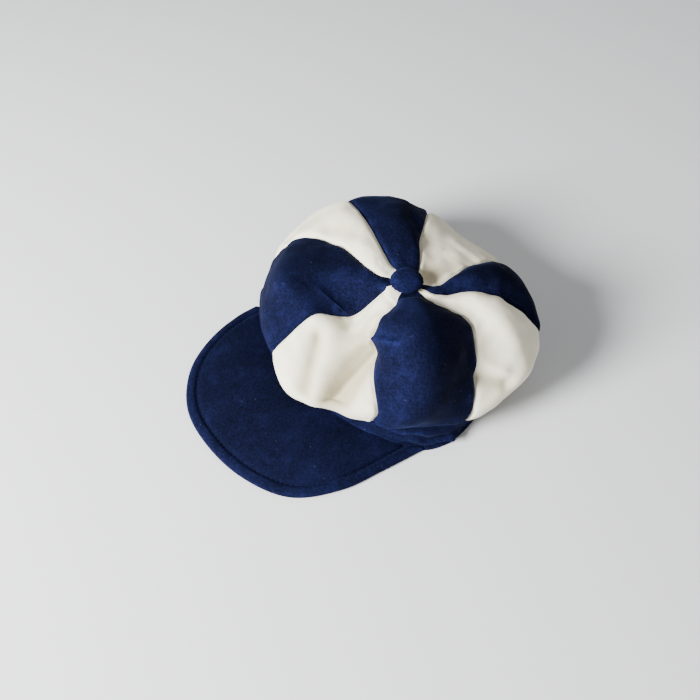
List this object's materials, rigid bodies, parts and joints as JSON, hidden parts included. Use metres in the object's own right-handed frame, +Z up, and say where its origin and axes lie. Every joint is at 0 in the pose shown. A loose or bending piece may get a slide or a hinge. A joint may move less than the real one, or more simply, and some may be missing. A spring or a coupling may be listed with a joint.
{
  "type": "eight-panel baker-boy cap",
  "caption": "Soft round cap of gored velvet panels on a narrow head band, with a covered button and a wide flat peak, lying crumpled on a surface.",
  "frame": {"origin": "on the table, under the middle of the whole cap's box", "axes": "+Z up, -Y towards the front where the peak is, +X towards the wearer's left"},
  "size_m": [0.2302, 0.2614, 0.1002],
  "materials": {
    "navy_velvet": "short pile, crushed here and there",
    "ivory_velvet": "short pile, smooth and pale"
  },
  "bodies": {
    "root": {"panel_front": "ivory_velvet", "panel_front_left": "navy_velvet", "panel_left": "ivory_velvet", "panel_back_left": "navy_velvet", "panel_back": "ivory_velvet", "panel_back_right": "navy_velvet", "panel_right": "ivory_velvet", "panel_front_right": "navy_velvet", "crown_button": "navy_velvet", "head_band": "navy_velvet", "peak": "navy_velvet"}
  },
  "joints": []
}
